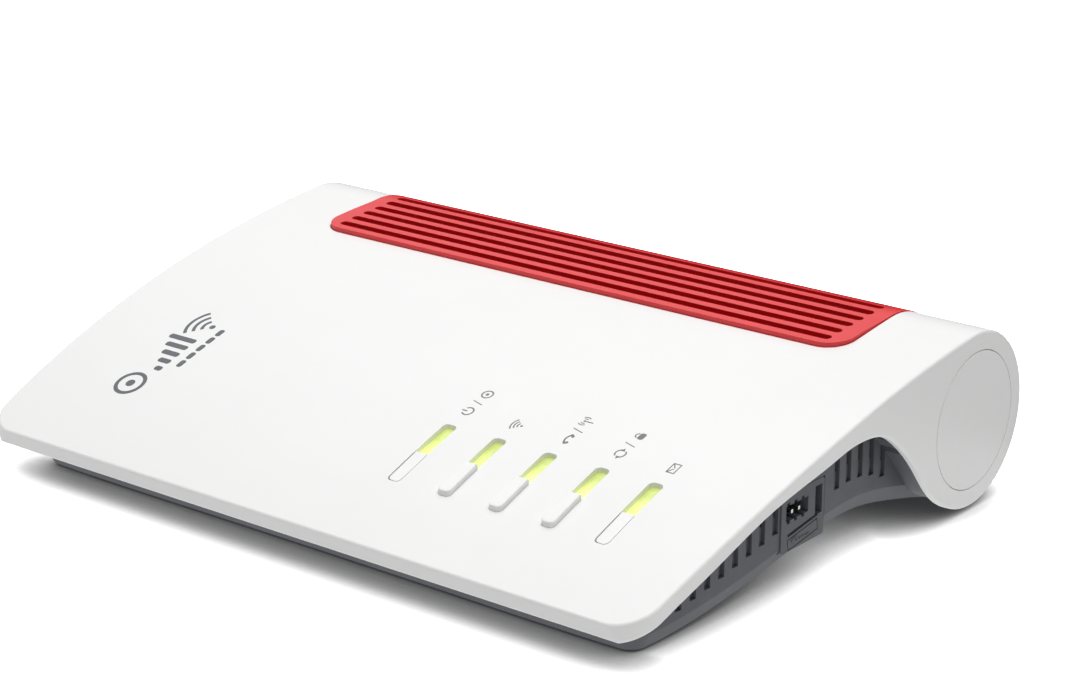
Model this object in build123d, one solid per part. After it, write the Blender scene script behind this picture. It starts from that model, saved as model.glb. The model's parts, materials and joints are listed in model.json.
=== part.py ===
from build123d import *

import os
from math import asin, atan, cos, degrees, radians, sin

# Tabletop cable modem: a low white wedge that ends in a round roll at the back, standing on a
# dark vented tray, with a red slotted grille over the roll and a sunk port bay behind it.
# Millimetres. X runs across the front, -Y is the front, +Z is up. The origin is the middle of
# the footprint, on the surface the modem stands on.

# ---- driving dimensions ----
WIDTH = 251.0            # over the two end plates
DEPTH = 180.0            # front lip to the back of the roll
ROLL_R = 26.2            # outer radius of the roll
ROLL_GAP = 1.3           # roll clear of the surface below it
WALL = 2.2               # general wall thickness
SEAM = 0.15              # gap between neighbouring mouldings

HALF = WIDTH / 2
FRONT = -DEPTH / 2
ROLL_Y = DEPTH / 2 - ROLL_R
ROLL_Z = ROLL_GAP + ROLL_R

# plan outline: parallel sides, easing in towards the front
TAPER_START = 10.0       # the sides start to ease in here
TAPER = 5.4              # each side has come in this much at the front lip
CORNER_R = 11.5          # front corners in plan

# side outline, as (y, z)
LIP_TOP = (FRONT, 14.2)
LIP_BOTTOM = (FRONT + 1.2, 8.9)
DOME = [(-45.0, 31.5), (0.0, 43.9), (35.0, 50.4)]
JOIN_ANGLE = 96.0        # the dome runs into the roll here, counted from +Y
ARCH_TOP = (4.5, 37.9)
ARCH_FRONT = [(-9.0, 35.9), (-34.8, 30.4), (-60.0, 21.2)]
ARCH_REAR = [(20.8, 33.3), (32.6, 22.4), (43.3, 9.8)]
ARCH_FOOT = -112.0       # the arch runs into the roll here

RIM_R = 0.9              # rounding of the white shell's outer edges

# dark tray under the white shell
TRAY_INSET = 10.0        # side walls stand this far inside the white edge
TRAY_FRONT = 12.0        # front wall stands this far behind the lip
TRAY_CORNER = 7.0
BAND = (2.2, 4.6)        # sloping band along the bottom edge: in, up
UNDERSIDE = [(FRONT, 1.0), (-68.0, 1.0), (-44.0, 3.2), (-14.6, 8.0), (20.0, 11.3), (41.0, 7.4), (58.0, 2.9)]
SLOT_PITCH_SIDE = 5.77   # wall slots
SLOT_STEP = 1.23         # each front slot starts this much higher than the one before
FRONT_SLOTS = [(-61.2 + SLOT_PITCH_SIDE * i, 8.3 + SLOT_STEP * i) for i in range(8)]
REAR_SLOTS = [(8.0, 21.2), (13.8, 21.7), (19.6, 21.3), (25.4, 20.1), (31.2, 17.9)]
WALL_SLOT = 2.5
GROOVE = 1.1             # depth of a wall slot's blind foot
GROOVE_UP = 4.6          # height of that foot
CRADLE_DROP = 1.5        # the dark roll underside lies this far inside the end plates
CRADLE_TOP = 34.0
CRADLE_FRONT = [(44.6, 11.0), (33.9, 23.6), (22.6, 34.6)]
CRADLE_HEAD = (14.0, 43.2)

# disc let into each end of the roll
DISC_R, DISC_T = 20.6, 1.3
DISC_GAP = 0.25

# red grille
GRILLE_HALF = 98.2
GRILLE_FRONT = 34.0
GRILLE_END = 24.0        # last angle on the back of the roll
GRILLE_RISE = 1.45       # stands this far proud of the dome at its front edge
GRILLE_RISE_REAR = 0.25  # and this far where it lies on the roll
GRILLE_CORNER = 8.0
GRILLE_GAP = 0.35        # between the grille and the white shell
SLOT_HALF = 92.9
SLOT_WIDTH = 3.0
SLOT_PITCH = 5.47
FIRST_SLOT = 38.2
FLAT_SLOTS = 5
ROLL_SLOTS = 5
ROLL_SLOT_START = 86.2
CROWN_ROUND = 0.2

# five status positions, left to right
STATUS = ["power", "wireless", "phone", "connect", "info"]
KEYED = ["wireless", "phone", "connect"]
STATUS_X = 20.8          # centre of the first one
STATUS_PITCH = 17.78
STATUS_WIDTH = 4.6
STATUS_FRONT = -67.4
STATUS_SPLIT = -54.8
STATUS_REAR = -42.0
KEY_RISE = 1.6
KEY_ROUND = 0.45         # rounding of a key's top rim
FIT = 0.12               # clearance round keys and windows
INLAY_FIT = 0.35
INLAY_DROP = 0.12
WINDOW_DROP = 1.4
KEY_CORNER = 1.5         # rounding of the far ends of keys and windows, in plan
FLANGE = 1.2             # a key's flange stands out this far under the skin
FLANGE_T = 1.1
FLANGE_GAP = 0.08
STEM_R = 1.4
SWITCH_Y = -60.0
SWITCH_H = 3.5
SWITCH_HALF = 3.0
PLUNGER_TOP = 21.3
PLUNGER_R = 1.5
PLUNGER_H = 2.2

# main board and what stands on it
BOARD_Z = 15.0
BOARD_T = 1.6
BOARD_TOP = BOARD_Z + BOARD_T
BOARD_HALF = 99.0
BOARD_FRONT = -68.0
BOARD_REAR = 72.0
BOARD_CORNER = 3.0
SINK_Z = BOARD_TOP + 2.3
SINK_AREA = (-44.0, 44.0, -20.0, 36.0)
SINK_BASE = 2.5
FIN_COUNT, FIN_PITCH, FIN_T, FIN_H = 12, 7.8, 1.2, 15.0
CAN_H, CAN_T = 4.0, 0.3
ANTENNA_X = 109.2
ANTENNA_Y = (-48.0, -24.0)
ANTENNA_Z = (17.5, 24.5)
ANTENNA_T = 0.8
LEAD_X, LEAD_Y, LEAD_Z = 95.0, -36.0, 20.5
LEAD_R = 0.55

# sunk port bay in the back of the roll
BAY_HALF = 112.0
BAY_LOW = 11.0
BAY_HIGH = 32.0
PANEL_Y = 76.0           # outer face of the port panel
PANEL_T = 2.0

SOCKET_DEEP = 17.5       # jack bodies reach this far in from the panel
JACK_H = 13.4
WIRE = 0.4               # spring contacts are this wide
WIRE_PITCH = 1.02

COAX_X, COAX_Z = -96.0, 22.5
COAX_R, COAX_LENGTH = 4.75, 12.0
COAX_NECK = 5.3          # radius of the shoulder that carries the nut
COAX_BORE = 3.4
COAX_CORE = 0.6
COAX_NUT = 2.3
NUT_HALF = 6.3           # half the width across flats

LAN_X, LAN_PITCH, LAN_COUNT = -52.0, 14.2, 4
LAN_W, LAN_H, LAN_DEEP = 11.8, 7.2, 12.5
LAN_XS = [LAN_X + i * LAN_PITCH for i in range(LAN_COUNT)]
LAN_LEFT, LAN_RIGHT = LAN_XS[0] - 7.9, LAN_XS[-1] + 7.9
LAN_LATCH = (6.0, 2.4)
MOUTH_Z = BOARD_TOP + 3.8

PHONE_X, PHONE_PITCH, PHONE_COUNT = 46.0, 15.0, 2
PHONE_W, PHONE_H = 9.8, 6.8
PHONE_XS = [PHONE_X + i * PHONE_PITCH for i in range(PHONE_COUNT)]
PHONE_LEFT, PHONE_RIGHT = PHONE_XS[0] - 6.8, PHONE_XS[-1] + 6.8
PHONE_LATCH = (6.0, 2.0)
PHONE_MOUTH_Z = BOARD_TOP + 3.0
PHONE_JACK_H = 11.8

USB_X, USB_W, USB_H, USB_T = 22.0, 13.2, 5.8, 0.3
USB_DEEP = 14.0
POWER_X, POWER_BORE, POWER_PIN = 94.0, 2.8, 1.05
POWER_HALF, POWER_H, POWER_DEEP = 7.0, 11.0, 14.0
POWER_Z = BOARD_TOP + POWER_H / 2
POWER_REACH = 10.0

# socket in the right-hand side wall, as y and z ranges
SIDE_FRONT, SIDE_REAR = -18.6, 2.0
SIDE_LOW, SIDE_HIGH = 10.4, 27.0
SIDE_BODY_LOW = 13.2
SIDE_DEEP = 101.0        # inner end of the side socket
SIDE_POCKET = (-2.4, 0.9, 16.9, 25.2)
SIDE_MOUTH = (-16.4, -5.8, 19.2, 23.6)
SIDE_NOTCH = (0.7, 18.4, 24.4)
SIDE_CONTACTS = [-15.2, -11.8, -8.4]
SIDE_FIELD = (-8.2, 13.1, 8.0)  # middle y and z of the framed field, and its lean in degrees

# fastenings and feet, as (x, y)
BOSS_R = 4.6
SCREW_R, SCREW_HEAD_R, SCREW_HEAD_H = 1.15, 2.7, 1.8
BOARD_SCREW_R, BOARD_HEAD_R, BOARD_HEAD_H = 1.05, 2.5, 1.6
POSTS = [(-104.0, -58.0), (104.0, -58.0), (-104.0, 46.0), (104.0, 46.0)]
POST_FOOT = 19.0         # the white shell's posts end here
POST_R = 3.2
BOARD_POST_R = 3.4
SEAT_Z = 12.0            # case screw heads bear here
BOARD_POSTS = [(-90.0, -50.0), (8.0, -56.0), (-80.0, 52.0), (80.0, 52.0)]
FEET = [(-88.0, -69.0, 2.0), (88.0, -69.0, 2.0), (-88.0, ROLL_Y, 3.8), (88.0, ROLL_Y, 3.8)]
FOOT_R = 4.5
KEYHOLES = (55.0, -26.0)  # half spacing across, and y, of the two wall-hanging holes
KEYHOLE_R = 4.2
KEYHOLE_NECK = (2.2, 10.0)  # half width, and length towards the back
KEYHOLE_SINK = 7.2
KEYHOLE_Z = (8.0, 10.5)
LABEL = (-32.0, 32.0, 9.0, 31.0)
LABEL_Z = 11.0
LABEL_T = 0.3


def yz(face, half):
    """A side-view face made into a bar that is symmetric about x = 0."""
    return extrude(Plane.YZ * face, amount=half, both=True)


def box(x0, x1, y0, y1, z0, z1):
    return Pos((x0 + x1) / 2, (y0 + y1) / 2, (z0 + z1) / 2) * Box(x1 - x0, y1 - y0, z1 - z0)


def rod(x, y, z0, z1, r):
    return Pos(x, y, (z0 + z1) / 2) * Cylinder(r, z1 - z0)


def rod_y(x, z, y0, y1, r):
    return Pos(x, (y0 + y1) / 2, z) * Rot(90, 0, 0) * Cylinder(r, y1 - y0)


def on_roll(angle, r):
    return (ROLL_Y + r * cos(radians(angle)), ROLL_Z + r * sin(radians(angle)))


def roll_arc(a0, a1, r):
    return ThreePointArc(on_roll(a0, r), on_roll((a0 + a1) / 2, r), on_roll(a1, r))


def dome_line(drop):
    """The top surface in side view, moved in by drop, from the lip to the roll."""
    end = on_roll(JOIN_ANGLE, ROLL_R - drop)
    points = [(LIP_TOP[0], LIP_TOP[1] - drop)] + [(y, z - drop) for y, z in DOME] + [end]
    slope = radians(JOIN_ANGLE - 90)
    return Spline(points, tangents=[(1, 0.46), (cos(slope), sin(slope))])


def dome_z(y):
    """Height of the top surface at y, read from its side-view line."""
    line = dome_line(0)
    low, high = 0.0, 1.0
    for _ in range(30):
        mid = (low + high) / 2
        if (line @ mid).X < y:
            low = mid
        else:
            high = mid
    return (line @ low).Y


def dome_slope(y):
    return degrees(atan(dome_z(y + 0.5) - dome_z(y - 0.5)))


def plan(inset, front_inset, corner):
    """Footprint moved in by inset at the sides and front_inset at the front; open to the back."""
    half, front, back = HALF - inset, FRONT + front_inset, DEPTH
    reach = (TAPER_START - front) / (TAPER_START - FRONT)
    nose = (half - TAPER * reach ** 2, front)
    side = TangentArc((half, TAPER_START), nose, tangent=(0, -1))
    right = [Line((half, back), (half, TAPER_START)), side, Line(nose, (0, front))]
    left = [edge.mirror(Plane.YZ) for edge in right]
    face = make_face(right + left + [Line((-half, back), (half, back))])
    return fillet(face.vertices().group_by(Axis.Y)[0].filter_by(lambda v: abs(v.X) > 1), corner)


def plan_bar(inset, front_inset, corner):
    return extrude(plan(inset, front_inset, corner), amount=100)


def side_region():
    """The whole white side silhouette: dome, roll, arch and lip."""
    dome = dome_line(0)
    roll = roll_arc(JOIN_ANGLE, ARCH_FOOT, ROLL_R)
    foot = radians(ARCH_FOOT)
    rear = Spline([on_roll(ARCH_FOOT, ROLL_R)] + ARCH_REAR[::-1] + [ARCH_TOP],
                  tangents=[(sin(foot), -cos(foot)), (-1, 0)])
    front = Spline([ARCH_TOP] + ARCH_FRONT + [LIP_BOTTOM], tangents=[(-1, 0), (-1, -0.55)])
    return make_face([dome, roll, rear, front, Line(LIP_BOTTOM, LIP_TOP)])


def hollow_region(drop, low_z, exit_z):
    """Everything under the skin, open downwards, and open backwards below exit_z."""
    inner = ROLL_R - drop
    dome = dome_line(drop)
    end_angle = degrees(asin((exit_z - ROLL_Z) / inner))
    rear = on_roll(end_angle, inner)
    roll = roll_arc(JOIN_ANGLE, end_angle, inner)
    return make_face([dome, roll, Polyline(rear, (DEPTH, exit_z), (DEPTH, low_z), (FRONT, low_z), dome @ 0)])


def grille_line(rise, rear_rise):
    """Line over the dome at the grille, rise above the skin in front and rear_rise on the roll."""
    start, join = GRILLE_FRONT - 2 * GRILLE_GAP, on_roll(JOIN_ANGLE, ROLL_R)[0]
    lean = (rear_rise - rise) / (join - start)
    points = [(y, dome_z(y) + rise + lean * (y - start)) for y in (start, start + 8, start + 17)]
    slope = dome_z(start + 1) - dome_z(start) + lean
    fall = radians(JOIN_ANGLE - 90)
    points.append(on_roll(JOIN_ANGLE, ROLL_R + rear_rise))
    return Spline(points, tangents=[(1, slope), (cos(fall), sin(fall))])


def grille_region(rise, rear_rise, drop, end_angle):
    """Band over the dome and roll in side view, from above the skin to drop below it."""
    crown, under = grille_line(rise, rear_rise), grille_line(-drop, -drop)
    return make_face([crown, roll_arc(JOIN_ANGLE, end_angle, ROLL_R + rear_rise),
                      Line(on_roll(end_angle, ROLL_R + rear_rise), on_roll(end_angle, ROLL_R - drop)),
                      roll_arc(end_angle, JOIN_ANGLE, ROLL_R - drop), under, Line(under @ 0, crown @ 0)])


def grille_plan(grow):
    half, front = GRILLE_HALF + grow, GRILLE_FRONT - grow
    face = Pos(0, (front + DEPTH) / 2) * Rectangle(2 * half, DEPTH - front)
    return extrude(fillet(face.vertices().group_by(Axis.Y)[0], GRILLE_CORNER + grow), amount=100)


def status_x(name):
    return STATUS_X + STATUS.index(name) * STATUS_PITCH


def status_bar(name, y0, y1, width, top_rise, z0):
    """Upright bar under one status position; its top follows the dome."""
    top = [(y1, dome_z(y1) + top_rise), (y0, dome_z(y0) + top_rise)]
    face = make_face(Polyline((y0, z0), (y1, z0), *top, close=True))
    return Pos(status_x(name), 0, 0) * yz(face, width / 2)


def round_plan(bar, radius):
    """Round the upright corners of a bar."""
    return fillet(bar.edges().filter_by(Axis.Z), radius)


def round_end(bar, end):
    """Round the two upright corners at one end: 0 is the front one, -1 the rear one."""
    return fillet(bar.edges().filter_by(Axis.Z).group_by(Axis.Y)[end], KEY_CORNER - FIT)


# ---- white shell ----
def make_top_shell():
    skin = soften_rim(yz(side_region(), HALF) & plan_bar(0, 0, CORNER_R))
    hollow = yz(hollow_region(WALL, -10, BAY_HIGH), HALF)
    shell = skin - (hollow & plan_bar(WALL, WALL, CORNER_R - WALL))
    shell -= yz(grille_region(5, 5, 8, GRILLE_END - 0.4), HALF) & grille_plan(GRILLE_GAP)
    for name in STATUS:
        hole = status_bar(name, STATUS_FRONT, STATUS_REAR, STATUS_WIDTH, 5, BOARD_TOP)
        shell -= round_plan(hole, KEY_CORNER)
    for x, y in POSTS:
        top = dome_z(y) - WALL + 0.6
        shell += rod(x, y, POST_FOOT, top, POST_R) - rod(x, y, POST_FOOT - 1, top - 3, SCREW_R + 0.05)
    for side in (-1, 1):
        shell -= end_disc(side, 0)
    return shell


def soften_rim(skin):
    """Round every edge between the outer sides and the dome, roll, arch and lip."""
    rim = [e for e in skin.edges() if (e @ 0 - e @ 1).cross(Vector(0, 0, 1)).length > 0.01]
    return fillet([e for e in rim if abs(e.center().X) > HALF * 0.8 or e.center().Y < FRONT + 2], RIM_R)


def end_disc(side, gap):
    place = Pos(side * (HALF - DISC_T / 2), ROLL_Y, ROLL_Z) * Rot(0, 90, 0)
    return place * Cylinder(DISC_R - gap, DISC_T)


# ---- red grille ----
def make_grille():
    region = grille_region(GRILLE_RISE, GRILLE_RISE_REAR, WALL, GRILLE_END)
    band = yz(region, GRILLE_HALF) & grille_plan(0)
    grille = soften_crown(band)
    slot = extrude(SlotOverall(2 * SLOT_HALF, SLOT_WIDTH), amount=8, both=True)
    for i in range(FLAT_SLOTS):
        y = FIRST_SLOT + i * SLOT_PITCH
        grille -= Pos(0, y, dome_z(y)) * Rot(dome_slope(y), 0, 0) * slot
    step = degrees(SLOT_PITCH / ROLL_R)
    for i in range(ROLL_SLOTS):
        tilt = ROLL_SLOT_START - i * step - 90
        grille -= Pos(0, ROLL_Y, ROLL_Z) * Rot(tilt, 0, 0) * Pos(0, 0, ROLL_R) * slot
    return grille


def soften_crown(band):
    """Round the outline of the grille's outer surface."""
    outer = [f for f in band.faces() if f.area > 2000 and f.normal_at().Z > 0.3]
    edges = [e for f in outer for e in f.edges()]
    return fillet([e for e in edges if sum(e.is_same(other) for other in edges) == 1], CROWN_ROUND)


# ---- dark tray with the roll cradle ----
def underside_line(lift):
    return Spline([(y, z + lift) for y, z in UNDERSIDE], tangents=[(1, 0), (1, -0.3)])


def tray_region(lift):
    """Tray in side view, floor lifted by lift, open at the top."""
    floor = underside_line(lift)
    start, end = floor @ 0, floor @ 1
    return make_face([floor, Polyline(end, (end.X, DEPTH), (start.X, DEPTH), start)])


def cradle_region(shrink, open_top):
    """Roll underside in side view, moved in by shrink."""
    r = ROLL_R - CRADLE_DROP - shrink
    nose = [(y + 0.79 * shrink, z + 0.62 * shrink) for y, z in CRADLE_FRONT + [CRADLE_HEAD]]
    foot = radians(ARCH_FOOT)
    front = Spline([on_roll(ARCH_FOOT, r)] + nose, tangents=[(sin(foot), -cos(foot)), (-1, 0.9)])
    roll = roll_arc(12, ARCH_FOOT, r)
    rear, head = roll @ 0, front @ 1
    lid = [(head.X + 16, head.Y + 5), (head.X + 16, CRADLE_TOP), (rear.X, CRADLE_TOP)]
    if open_top:
        lid = [(head.X, DEPTH), (rear.X, DEPTH)]
    return make_face([front, roll, Polyline(head, *lid, rear)])


def wall_x(y):
    reach = max(TAPER_START - y, 0) / (TAPER_START - FRONT)
    return HALF - TRAY_INSET - TAPER * reach ** 2


def tray_block():
    """Outer form of the tray, with the sloping band along its bottom edge."""
    tray = yz(tray_region(0), HALF) & plan_bar(TRAY_INSET, TRAY_FRONT, TRAY_CORNER)
    base = tray.faces().sort_by(Axis.Z)[0]
    rim = [e for e in base.edges() if e.center().Y < UNDERSIDE[-1][0] - 1]
    return chamfer(rim, BAND[0], BAND[1], reference=base)


def wall_slots():
    """Slots in both side walls: a blind foot that opens into the case higher up."""
    cuts = []
    for y, low in FRONT_SLOTS + REAR_SLOTS:
        edge, high = wall_x(y), dome_z(y) - 5.5
        foot = box(edge - GROOVE, edge + 5, y - WALL_SLOT / 2, y + WALL_SLOT / 2, low, high)
        open_part = box(edge - 4, edge + 5, y - WALL_SLOT / 2, y + WALL_SLOT / 2, low + GROOVE_UP, high)
        for cut in (foot, open_part):
            cuts += [cut, cut.mirror(Plane.YZ)]
    return cuts


def floor_vents():
    """Two rows of slots in the underside, below the board."""
    slot = Rot(0, 0, 90) * extrude(SlotOverall(14, 2.4), amount=30)
    return [Pos(x, y, 0) * slot for y in (-44, -6) for x in range(-78, 79, 12)]


def keyhole(x, y):
    half, length = KEYHOLE_NECK
    neck = box(x - half, x + half, y, y + length, KEYHOLE_Z[0] - 1, KEYHOLE_Z[1] + 1)
    return rod(x, y, KEYHOLE_Z[0] - 1, KEYHOLE_Z[1] + 1, KEYHOLE_R) + neck


def make_bottom_housing():
    under_skin = yz(hollow_region(WALL + SEAM, -10, BAY_HIGH - SEAM), HALF)
    outer = tray_block() + yz(cradle_region(0, False), HALF - WALL - SEAM)
    inner_plan = plan_bar(TRAY_INSET + WALL, TRAY_FRONT + WALL, TRAY_CORNER - WALL)
    hollow = yz(tray_region(WALL), HALF) & inner_plan
    hollow += yz(cradle_region(WALL, True), HALF - 2 * WALL - SEAM)
    lining = [box(-BAY_HALF - WALL, BAY_HALF + WALL, PANEL_Y - 2 * PANEL_T, DEPTH, BAY_LOW - WALL,
                  BAY_HIGH + WALL)]
    lining += [rod(x, y, 0, POST_FOOT - SEAM, BOSS_R) for x, y in POSTS]
    lining += [rod(x, y, 0, BOARD_Z - 0.02, BOARD_POST_R) for x, y in BOARD_POSTS]
    lining += [rod(x, KEYHOLES[1], 0, KEYHOLE_Z[1], 8.5) for x in (-KEYHOLES[0], KEYHOLES[0])]
    housing = (outer - hollow + [piece & outer for piece in lining]) & under_skin
    housing -= box(-BAY_HALF, BAY_HALF, PANEL_Y - PANEL_T, DEPTH, BAY_LOW, BAY_HIGH)
    housing -= box(-BAY_HALF + 2, BAY_HALF - 2, PANEL_Y - 6, PANEL_Y, BAY_LOW + 2, BAY_HIGH - 1)
    housing -= wall_slots() + floor_vents()
    housing -= [rod(x, y, BOARD_Z - 7, BOARD_Z, 1.1) for x, y in BOARD_POSTS]
    housing -= [rod(x, y, -1, SEAT_Z, 3.1) + rod(x, y, 0, POST_FOOT, 1.5) for x, y in POSTS]
    for x in (-KEYHOLES[0], KEYHOLES[0]):
        housing -= rod(x, KEYHOLES[1], -1, KEYHOLE_Z[0], KEYHOLE_SINK) + keyhole(x, KEYHOLES[1])
    housing -= [rod(x, y, -1, top, FOOT_R + 0.1) for x, y, top in FEET]
    side_cut = box(wall_x(SIDE_FRONT) - WALL - SEAM, HALF, SIDE_FRONT - SEAM, SIDE_REAR + SEAM,
                   SIDE_LOW - SEAM, SIDE_HIGH + SEAM)
    return housing - box(*LABEL, 0, LABEL_Z) - side_cut


# ---- keys, inlays, light guides ----
def make_key(name):
    """Sprung key: proud of the dome, held up by a flange under the skin."""
    width = STATUS_WIDTH - 2 * FIT
    front, rear = STATUS_FRONT + FIT, STATUS_SPLIT - FIT
    bar = round_end(status_bar(name, front, rear, width, KEY_RISE, PLUNGER_TOP + 2), 0)
    under = WALL + FLANGE_GAP
    hollow = status_bar(name, front - 2, rear + 2, width + 5, -under - FLANGE_T, 0)
    flange = status_bar(name, front - FLANGE, rear, width + 2 * FLANGE, -under, 0)
    stem = rod(status_x(name), SWITCH_Y, PLUNGER_TOP, dome_z(SWITCH_Y) - under, STEM_R)
    return (soften_top(bar) - hollow) + (flange - hollow) + stem


def soften_top(key):
    """Round the rim of a key's top face."""
    return fillet(key.faces().sort_by(Axis.Z)[-1].edges(), KEY_ROUND)


def make_plunger(name):
    return rod(status_x(name), SWITCH_Y, PLUNGER_TOP - PLUNGER_H, PLUNGER_TOP, PLUNGER_R)


def make_switches():
    bodies = []
    for name in KEYED:
        x = status_x(name)
        body = Pos(x, SWITCH_Y, BOARD_TOP + SWITCH_H / 2) * Box(2 * SWITCH_HALF, 2 * SWITCH_HALF, SWITCH_H)
        bodies.append(body - rod(x, SWITCH_Y, BOARD_TOP + 0.6, BOARD_TOP + 5, PLUNGER_R + 0.06))
    return Compound(bodies)


def make_inlay(name):
    """Flush filler in front of a lamp that has no key."""
    width = STATUS_WIDTH - 2 * INLAY_FIT
    bar = status_bar(name, STATUS_FRONT + INLAY_FIT, STATUS_SPLIT - FIT, width, -INLAY_DROP, BOARD_TOP + 2)
    return round_end(bar, 0) - status_bar(name, STATUS_FRONT - 2, STATUS_REAR, 9, -WALL - 1.5, 0)


def make_light_guides():
    """Five clear posts, moulded on one runner below the skin."""
    guides = None
    for name in STATUS:
        width = STATUS_WIDTH - 2 * FIT
        post = status_bar(name, STATUS_SPLIT, STATUS_REAR - FIT, width, -WINDOW_DROP, BOARD_TOP + 1.4)
        post = round_end(post, -1)
        guides = post if guides is None else guides + post
    run_low = dome_z(STATUS_REAR) - WALL - 3.5
    return guides + box(status_x(STATUS[0]), status_x(STATUS[-1]), STATUS_REAR - 3.5, STATUS_REAR - 1.5,
                        run_low, run_low + 2)


def make_status_leds():
    y = (STATUS_SPLIT + STATUS_REAR) / 2
    return Compound([box(status_x(n) - 1, status_x(n) + 1, y - 1.6, y + 1.6, BOARD_TOP, BOARD_TOP + 1.1)
                     for n in STATUS])


# ---- board and what stands on it ----
def make_board():
    board = box(-BOARD_HALF, BOARD_HALF, BOARD_FRONT, BOARD_REAR, BOARD_Z, BOARD_TOP)
    board = round_plan(board, BOARD_CORNER)
    return board - [rod(x, y, BOARD_Z - 1, BOARD_TOP + 1, BOARD_SCREW_R + 0.45) for x, y in BOARD_POSTS]


def make_screws(places, head_z, head_r, head_h, tip_z, shank_r, up):
    """Cross-head screws; up is true where the head is at the top."""
    screws = []
    for x, y in places:
        far = head_z + head_h if up else head_z - head_h
        head = rod(x, y, min(head_z, far), max(head_z, far), head_r)
        shank = rod(x, y, min(head_z, tip_z), max(head_z, tip_z), shank_r)
        end = max(head_z, far) if up else min(head_z, far)
        cross = Pos(x, y, end) * (Box(2.6, 0.6, 1.4) + Box(0.6, 2.6, 1.4))
        screws.append(head + shank - cross)
    return Compound(screws)


def make_heat_sink():
    x0, x1, y0, y1 = SINK_AREA
    sink = box(x0, x1, y0, y1, SINK_Z, SINK_Z + SINK_BASE)
    for i in range(FIN_COUNT):
        x = x0 + 0.6 + FIN_PITCH * i
        sink += box(x, x + FIN_T, y0, y1, SINK_Z, SINK_Z + FIN_H)
    return sink


def shield_can(x, y, width, length):
    """Folded tin lid over part of the board."""
    outer = Pos(x, y, BOARD_TOP + CAN_H / 2) * Box(width, length, CAN_H)
    inner = Pos(x, y, BOARD_TOP + CAN_H / 2 - CAN_T) * Box(width - 2 * CAN_T, length - 2 * CAN_T, CAN_H)
    return outer - inner


def make_antenna(side):
    return box(*sorted((side * ANTENNA_X, side * (ANTENNA_X + ANTENNA_T))), *ANTENNA_Y, *ANTENNA_Z)


def make_antenna_leads():
    """Thin coaxial leads from each antenna to its socket on the board."""
    leads = []
    for side in (-1, 1):
        x = side * LEAD_X
        corners = [(side * ANTENNA_X, LEAD_Y, LEAD_Z), (x, LEAD_Y, LEAD_Z), (x, LEAD_Y, BOARD_TOP + 1)]
        path = FilletPolyline(*corners, radius=2.5)
        leads.append(sweep(Plane(path @ 0, z_dir=path % 0) * Circle(LEAD_R), path))
        leads.append(rod(x, LEAD_Y, BOARD_TOP, BOARD_TOP + 1, 2 * LEAD_R))
    return Compound(leads)


# ---- sockets on the back ----
def socket_block(x0, x1, height, centres, mouth_w, mouth_h, mouth_z, notch):
    """Moulded jack body; every mouth has a notch for the plug's latch."""
    body = box(x0, x1, PANEL_Y - SOCKET_DEEP, PANEL_Y, BOARD_TOP, BOARD_TOP + height)
    for x in centres:
        body -= box(x - mouth_w / 2, x + mouth_w / 2, PANEL_Y - LAN_DEEP, PANEL_Y + 1, mouth_z,
                    mouth_z + mouth_h)
        body -= box(x - notch[0] / 2, x + notch[0] / 2, PANEL_Y - LAN_DEEP, PANEL_Y + 1,
                    mouth_z - notch[1], mouth_z + 1)
    return body


def socket_contacts(centres, count, top_z):
    """Spring wires along the roof of each mouth."""
    wires = []
    for centre in centres:
        for i in range(count):
            x = centre + (i - (count - 1) / 2) * WIRE_PITCH
            wires.append(box(x - WIRE / 2, x + WIRE / 2, PANEL_Y - LAN_DEEP + 0.5, PANEL_Y - 3, top_z - 0.7,
                             top_z - 0.1))
    return Compound(wires)


def make_coax():
    """Threaded barrel with a hexagon behind the panel."""
    face = PANEL_Y + COAX_NUT
    body = rod_y(COAX_X, COAX_Z, face, PANEL_Y + COAX_LENGTH, COAX_R)
    body += rod_y(COAX_X, COAX_Z, PANEL_Y - PANEL_T - 6, face, COAX_NECK)
    flat = Pos(COAX_X, PANEL_Y - PANEL_T - 0.05, COAX_Z) * Rot(90, 0, 0)
    body += flat * extrude(RegularPolygon(5.5, 6, major_radius=False), amount=2.5)
    body += box(COAX_X - 5, COAX_X + 5, PANEL_Y - 15, PANEL_Y - PANEL_T - 6, BOARD_TOP, COAX_Z + 5)
    return body - rod_y(COAX_X, COAX_Z, PANEL_Y - 4, PANEL_Y + COAX_LENGTH + 1, COAX_BORE)


def make_coax_insulator():
    end = PANEL_Y + COAX_LENGTH - 0.6
    plug = rod_y(COAX_X, COAX_Z, PANEL_Y - 4, end, COAX_BORE)
    return plug - rod_y(COAX_X, COAX_Z, end - 7, end + 1, COAX_CORE)


def make_coax_nut():
    nut = extrude(RegularPolygon(NUT_HALF, 6, major_radius=False), amount=COAX_NUT)
    place = Pos(COAX_X, PANEL_Y + COAX_NUT, COAX_Z) * Rot(90, 0, 0)
    return place * nut - rod_y(COAX_X, COAX_Z, PANEL_Y - 1, PANEL_Y + 5, COAX_NECK + 0.03)


def make_usb_shell():
    z = BOARD_TOP + USB_H / 2 + USB_T + 0.1
    outer = Pos(USB_X, PANEL_Y - USB_DEEP / 2, z) * Box(USB_W + 2 * USB_T, USB_DEEP, USB_H + 2 * USB_T)
    return outer - Pos(USB_X, PANEL_Y - USB_DEEP / 2 + 0.5, z) * Box(USB_W, USB_DEEP, USB_H)


def make_usb_tongue():
    z = BOARD_TOP + USB_H / 2 + 1.4
    tongue = Pos(USB_X, PANEL_Y - 8, z) * Box(11.2, 11, 1.9)
    return tongue + Pos(USB_X, PANEL_Y - 12.6, z - 0.8) * Box(12, 1.4, 4)


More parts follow.
